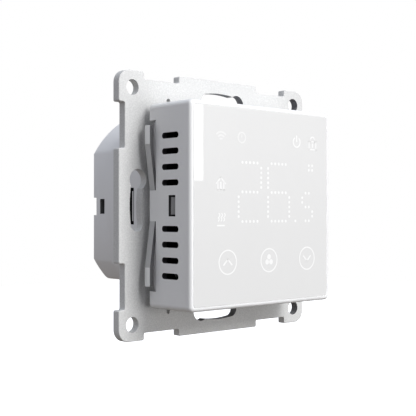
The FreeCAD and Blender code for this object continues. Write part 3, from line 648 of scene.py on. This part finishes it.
class THERMOSTAT_OT_power_housing(ThermostatOperator, Operator):
    """Make the deck, the rear housing and the rear cap"""
    bl_idname = "thermostat.power_housing"
    bl_label = "Power unit housing"

    def execute(self, context):
        edge = self.sizes.edge
        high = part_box("rear_housing")[1]
        wall = 1.0 * MM
        skin = wall / 5
        window = 5.5 * MM
        cap_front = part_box("rear_cap")[0].y

        def in_wall(face):
            """True inside the snap windows, which lie across the middle of the flats."""
            across, depth, rise = face.center
            return abs(across) < high.x - skin and abs(rise) < window and depth > wall

        def in_tube(face):
            """True for what lies inside the housing or behind the cap's front."""
            return faces_axis(face) or in_wall(face) or face.center.y > cap_front + wall

        def on_tongue(face):
            """True on the cap's small snap tongues."""
            outward = high.x - 2 * wall < abs(face.center.x)
            return in_wall(face) and outward and face.area < window * window

        deck = moulding("deck_cover", "deck", POWER, edge)
        latch_face = high.x - wall
        # Painted shade on the deck's inner walls and in its snap windows.
        shade(deck, "cavity", lambda face: faces_axis(face) or (
            in_wall(face) and abs(face.center.x) < latch_face))
        tube = moulding("rear_housing", "housing_tube", POWER, edge)
        # Painted shade inside the housing tube, in its windows and behind the cap's front.
        shade(tube, "cavity", in_tube)
        cap = moulding("rear_cap", "housing_cap", POWER, edge)
        # Painted shade on the cap's inner walls; its snap tongues get the lighter deep shade.
        shade(cap, "cavity", faces_axis)
        shade(cap, "deep_shade", on_tongue)
        return {"FINISHED"}


class THERMOSTAT_OT_front_shell(ThermostatOperator, Operator):
    """Make the white shell of the front unit and its back cover"""
    bl_idname = "thermostat.front_shell"
    bl_label = "Front shell"

    def execute(self, context):
        panel_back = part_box("touch_panel")[1].y
        board_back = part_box("display_board_screws")[1].y
        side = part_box("front_shell")[1].x
        slot_front = min(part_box(SPRING_PREFIX + place)[0].y for place in SPRINGS) - 1 * MM
        wall = 1.7 * MM
        skin = 0.1 * MM

        def in_wall(face):
            """True on the walls of the vents, the hook windows and the spring slots."""
            near, far = sorted((abs(face.center.x), abs(face.center.z)))
            inside = near < side - 2 * wall and side - wall < far < side - skin
            return inside and face.center.y > panel_back + wall

        shell = moulding("front_shell", "shell", FRONT, self.sizes.edge)
        # Painted shade inside the shell behind the panel.
        shade(shell, "cavity", lambda face: face.center.y > panel_back and faces_axis(face))
        # Painted light on the pocket walls in front of the panel.
        shade(shell, "edge_glow", lambda face: face.center.y < panel_back and faces_axis(face))
        # Painted shade on the walls of the vents and hook windows.
        shade(shell, "vent_wall", lambda face: in_wall(face) and face.center.y < slot_front)
        # Lighter painted shade on the walls of the spring slots.
        shade(shell, "slot_wall", lambda face: in_wall(face) and face.center.y > slot_front)
        cover = moulding("back_cover", "cover", FRONT, self.sizes.edge)
        # Painted shade on the cover's inner faces behind the board.
        shade(cover, "cavity", lambda face: face.center.y > board_back and face.normal.y < -0.5)
        # Painted shade on the cover's hook faces seen through the hook windows.
        shade(cover, "hook_face", lambda face: face.center.y < slot_front)
        return {"FINISHED"}


class THERMOSTAT_OT_frame_springs(ThermostatOperator, Operator):
    """Make the springs that grip a cover frame"""
    bl_idname = "thermostat.frame_springs"
    bl_label = "Frame springs"

    def execute(self, context):
        for place in SPRINGS:
            node = SPRING_PREFIX + place
            arm = moulding(node, "spring_arm_" + place, "spring_" + place, self.sizes.edge)
            low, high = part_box(node)
            nose = max(abs(low.z), abs(high.z)) - self.sizes.nose
            # Painted shade: the arm is darker than its nose, and its front face is darker still.
            shade(arm, "slot_wall", lambda face: abs(face.center.z) < nose)
            shade(arm, "deep_shade", lambda face: face.normal.y < -0.7)
        return {"FINISHED"}


class THERMOSTAT_OT_touch_panel(ThermostatOperator, Operator):
    """Make the touch panel with its printed film and tape"""
    bl_idname = "thermostat.touch_panel"
    bl_label = "Touch panel"

    def execute(self, context):
        moulding("symbol_film", "panel_face", FRONT, 0.03 * MM)
        moulding("touch_panel", "panel_plate", FRONT, 0.05 * MM)
        dress("panel_bond")
        return {"FINISHED"}


class THERMOSTAT_OT_reading(ThermostatOperator, Operator):
    """Make the lit dots of the temperature reading"""
    bl_idname = "thermostat.reading"
    bl_label = "Reading"

    def execute(self, context):
        sizes = self.sizes
        foot = -sizes.reading_foot
        dots = digit_dots("2", FIRST_DIGIT_X, foot, sizes, 5, 5)
        dots += digit_dots("6", SECOND_DIGIT_X, foot, sizes, 5, 5)
        dots += digit_dots("5", SMALL_DIGIT_X, foot, sizes, 2, 2)
        dots.append((POINT_X, foot))
        top = foot + 12 * sizes.row
        for column in (2, 3):
            for row in (0, 1):
                dots.append((SMALL_DIGIT_X + column * sizes.column, top - row * sizes.row))
        lit = new_print(sizes)
        for x, z in dots:
            lit.disc(x, z, sizes.dot / 2)
        lit.finish("reading_dots")
        return {"FINISHED"}


class THERMOSTAT_OT_symbols(ThermostatOperator, Operator):
    """Make the small lit symbols: radio, timer, power, lock, house and heating"""
    bl_idname = "thermostat.symbols"
    bl_label = "Symbols"

    def execute(self, context):
        sizes = self.sizes
        line = sizes.symbol_line
        shift = sizes.layout_shift
        level = TOP_ROW
        quarter = math.pi / 4

        radio = new_print(sizes)
        x = shift + RADIO_X
        for radius in (1.65 * MM, 2.5 * MM):
            radio.arc(x, level - 1.2 * MM, radius, line * 1.15, quarter * 0.95, quarter * 3.05)
        radio.bar((x - 0.35 * MM, level - 0.7 * MM), (x + 0.35 * MM, level - 0.7 * MM), line * 1.1)
        radio.finish("symbol_radio", faint=True)

        timer = new_print(sizes)
        x = shift + TIMER_X
        timer.arc(x, level, 1.55 * MM, line, 0.0, 2 * math.pi, 40)
        timer.bar((x, level + 0.1 * MM), (x, level + 0.75 * MM), line * 0.8)
        timer.finish("symbol_timer", faint=True)

        power = new_print(sizes)
        x = shift + POWER_X
        power.arc(x, level - 0.1 * MM, 1.6 * MM, line, math.radians(125), math.radians(415), 36)
        power.bar((x, level + 0.1 * MM), (x, level + 1.6 * MM), line)
        power.finish("symbol_power")

        lock = new_print(sizes)
        x = shift + LOCK_X
        low, high = level - 1.9 * MM, level + 0.35 * MM
        half = 1.45 * MM
        bow = 1.05 * MM
        bow_rise = 0.45 * MM
        lock.outline([(x - half, low), (x + half, low), (x + half, high),
                      (x - half, high), (x - half, low)], line)
        lock.arc(x, high + bow_rise, bow, line, 0.0, math.pi, 20)
        for side in (-1, 1):
            reach = x + side * (bow - line / 2)
            lock.bar((reach, high), (reach, high + bow_rise), line)
        lock.bar((x, level - 1.15 * MM), (x, level - 0.35 * MM), line * 1.2)
        lock.finish("symbol_lock")

        house = new_print(sizes)
        x = shift + HOUSE_X
        level = HOUSE_ROW
        eaves = 1.6 * MM
        wall = 1.05 * MM
        house.outline([(x - eaves, level + 0.15 * MM), (x, level + 1.7 * MM),
                       (x + eaves, level + 0.15 * MM)], line)
        house.outline([(x - wall, level + 0.4 * MM), (x - wall, level - 1.5 * MM),
                       (x + wall, level - 1.5 * MM), (x + wall, level + 0.4 * MM)], line)
        house.bar((x, level - 1.4 * MM), (x, level + 0.35 * MM), line * 1.3)
        house.finish("symbol_house")

        heating = new_print(sizes)
        level = HEATING_ROW
        for column in (-1, 0, 1):
            wave = x + column * 0.95 * MM
            for step, side in ((-1, 1), (1, -1)):
                centre = level + 0.55 * MM + step * 0.55 * MM
                start = -math.pi / 2 if side > 0 else math.pi / 2
                heating.arc(wave - side * 0.12 * MM, centre, 0.62 * MM, line * 0.8,
                            start * 0.9, start * 0.9 + side * math.pi * 0.9, 10)
        heating.bar((x - 1.2 * MM, level - 1.6 * MM), (x + 1.2 * MM, level - 1.6 * MM), line)
        heating.finish("symbol_heating")
        return {"FINISHED"}


class THERMOSTAT_OT_touch_circles(ThermostatOperator, Operator):
    """Make the three lit touch circles: up, fan and down"""
    bl_idname = "thermostat.touch_circles"
    bl_label = "Touch circles"

    def execute(self, context):
        sizes = self.sizes
        level = CIRCLE_ROW
        line = sizes.symbol_line * 1.15
        tip_half = 1.45 * MM
        blade_reach = 0.90 * MM
        blade_radius = 0.72 * MM
        for name, step, way in (("up", -1, 1), ("fan", 0, 0), ("down", 1, -1)):
            x = sizes.layout_shift + step * CIRCLE_PITCH
            mark = new_print(sizes)
            mark.arc(x, level, sizes.ring / 2, sizes.ring_line, 0.0, 2 * math.pi, 64)
            if way:
                tip = level + way * 0.75 * MM
                foot = level - way * 0.65 * MM
                mark.outline([(x - tip_half, foot), (x, tip), (x + tip_half, foot)], line)
            else:
                for blade in range(3):
                    turn = math.radians(90 + 120 * blade)
                    mark.disc(x + blade_reach * math.cos(turn), level + blade_reach * math.sin(turn),
                              blade_radius, 20)
            mark.finish("touch_circle_" + name)
        return {"FINISHED"}


class THERMOSTAT_OT_inner_parts(ThermostatOperator, Operator):
    """Finish the circuit boards, the relays and the other inner parts"""
    bl_idname = "thermostat.inner_parts"
    bl_label = "Inner parts"

    def execute(self, context):
        for node in SOFT_INSIDES:
            moulding(node, "made_" + node, body_of(node), 0.05 * MM)
        for body, nodes in frame["record"]["behaviour"]["bodies"].items():
            for node in nodes:
                if node.startswith("terminal_cage_") or node.startswith("terminal_screw_"):
                    moulding(node, "made_" + node, body, 0.04 * MM)
        for node in ("display_leds", "header_pins"):
            dress(node)
        return {"FINISHED"}


class THERMOSTAT_OT_stage(ThermostatOperator, Operator):
    """Set the floor, the light and the camera"""
    bl_idname = "thermostat.stage"
    bl_label = "Stage"

    def execute(self, context):
        stage = context.scene.thermostat_stage
        self.floor()
        self.sky()
        self.lights(stage)
        self.camera(context, stage)
        context.scene.view_settings.view_transform = "Standard"
        return {"FINISHED"}

    def floor(self):
        """Large pale floor, well below the object."""
        bm = bmesh.new()
        bmesh.ops.create_grid(bm, x_segments=1, y_segments=1, size=FLOOR_SIZE)
        bmesh.ops.translate(bm, verts=bm.verts, vec=(0, 0, FLOOR_LEVEL))
        mesh = bpy.data.meshes.new("floor")
        bm.to_mesh(mesh)
        bm.free()
        finish = new_finish("floor_paper", {"Emission Strength": 0.9})
        grain = finish.noise(3 * MM, 3.0)
        tone = finish.blend(grain, (0.97, 0.97, 0.97), (0.99, 0.99, 0.99))
        mesh.materials.append(connect(finish, base=tone, glow=tone,
                                      rough=finish.spread(grain, 0.0, 1.0, 0.8, 0.95)))
        floor = bpy.data.objects.new("floor", mesh)
        floor.visible_diffuse = False
        floor.visible_glossy = False
        bpy.context.scene.collection.objects.link(floor)

    def sky(self):
        """Even studio light, brighter above and behind."""
        world = bpy.data.worlds.new("studio")
        bpy.context.scene.world = world
        finish = Finish(world)
        finish.tree.nodes.clear()
        way = finish.node("ShaderNodeTexCoord", output=0)
        y = finish.node("ShaderNodeSeparateXYZ", {}, {0: way}, output=1)
        z = finish.node("ShaderNodeSeparateXYZ", {}, {0: way}, output=2)
        level = 0.38 + 0.12 * y + 0.30 * z
        level = finish.node("ShaderNodeMath", {"operation": "MAXIMUM"}, {0: level, 1: 0.03})
        tone = finish.blend(finish.spread(z, -0.8, 0.0, 0.0, 1.0),
                            (1.08, 0.96, 0.84), (0.98, 0.985, 1.045))
        tone = finish.blend(finish.spread(z, 0.0, 0.8, 0.0, 1.0), tone, (0.91, 0.97, 1.08))
        light = finish.node("ShaderNodeBackground", {}, {"Color": tone, "Strength": level})
        white = finish.node("ShaderNodeBackground", {}, {"Color": (1, 1, 1, 1), "Strength": 1.0})
        seen = finish.node("ShaderNodeLightPath", output=0)
        either = finish.node("ShaderNodeMixShader", {}, {0: seen, 1: light, 2: white})
        finish.node("ShaderNodeOutputWorld", {}, {0: either})

    def lights(self, stage):
        """A soft key light high in front, a small low one, and an upright one that the panel mirrors."""
        self.softbox("front_light", place=(0.105, -0.61, 0.44), aim=(0, 0, 0),
                     size=(0.30, 0.50), radiance=stage.front_light)
        self.softbox("fill_light", place=(0.166, -0.78, -0.056), aim=(0, 0, 0),
                     size=(0.25, 0.25), radiance=stage.fill_light)
        self.softbox("strip_light", place=(0.356, -0.486, 0.164), aim=(-0.0225, -0.0205, 0.164),
                     size=(0.065, 0.274), radiance=stage.strip_light)

    def softbox(self, name, place, aim, size, radiance):
        """Rectangular light of an even brightness that faces a point."""
        light = bpy.data.lights.new(name, "AREA")
        light.shape = "RECTANGLE"
        light.size, light.size_y = size
        light.energy = radiance * math.pi * size[0] * size[1]
        holder = bpy.data.objects.new(name, light)
        holder.location = place
        holder.rotation_euler = (Vector(aim) - Vector(place)).to_track_quat("-Z", "Y").to_euler()
        holder.visible_camera = False
        bpy.context.scene.collection.objects.link(holder)

    def camera(self, context, stage):
        """Camera to the left of the object, level with its middle."""
        lens = bpy.data.cameras.new("camera")
        lens.lens = stage.lens
        lens.sensor_width = 36.0
        lens.clip_start = 0.01
        holder = bpy.data.objects.new("camera", lens)
        place = Vector(CAMERA_PLACE)
        target = Vector(CAMERA_TARGET)
        holder.location = place
        holder.rotation_euler = (target - place).to_track_quat("-Z", "Y").to_euler()
        context.scene.collection.objects.link(holder)
        context.scene.camera = holder


STEPS = (
    THERMOSTAT_OT_finishes, THERMOSTAT_OT_mounting_plate, THERMOSTAT_OT_power_housing,
    THERMOSTAT_OT_front_shell, THERMOSTAT_OT_frame_springs, THERMOSTAT_OT_touch_panel,
    THERMOSTAT_OT_reading, THERMOSTAT_OT_symbols, THERMOSTAT_OT_touch_circles,
    THERMOSTAT_OT_inner_parts, THERMOSTAT_OT_stage,
)


class THERMOSTAT_PT_sidebar(Panel):
    """Sizes, colours and steps of the thermostat"""
    bl_label = "Wall thermostat"
    bl_idname = "THERMOSTAT_PT_sidebar"
    bl_space_type = "VIEW_3D"
    bl_region_type = "UI"
    bl_category = "Thermostat"

    def draw(self, context):
        scene = context.scene
        for group in (scene.thermostat_sizes, scene.thermostat_colours, scene.thermostat_stage):
            box = self.layout.box()
            for name in group.bl_rna.properties.keys():
                if name not in {"rna_type", "name"}:
                    box.prop(group, name)
        for step in STEPS:
            self.layout.operator(step.bl_idname)


CLASSES = (ThermostatSizes, ThermostatColours, ThermostatStage) + STEPS + (THERMOSTAT_PT_sidebar,)


def register():
    """Registers the classes and the scene's settings."""
    for thing in CLASSES:
        bpy.utils.register_class(thing)
    bpy.types.Scene.thermostat_sizes = PointerProperty(type=ThermostatSizes)
    bpy.types.Scene.thermostat_colours = PointerProperty(type=ThermostatColours)
    bpy.types.Scene.thermostat_stage = PointerProperty(type=ThermostatStage)


def unregister():
    """Takes them away again."""
    del bpy.types.Scene.thermostat_stage
    del bpy.types.Scene.thermostat_colours
    del bpy.types.Scene.thermostat_sizes
    for thing in reversed(CLASSES):
        bpy.utils.unregister_class(thing)


def main():
    """Registers the add-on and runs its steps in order."""
    register()
    for step in STEPS:
        group, name = step.bl_idname.split(".")
        getattr(getattr(bpy.ops, group), name)()


if __name__ == "__main__":
    main()
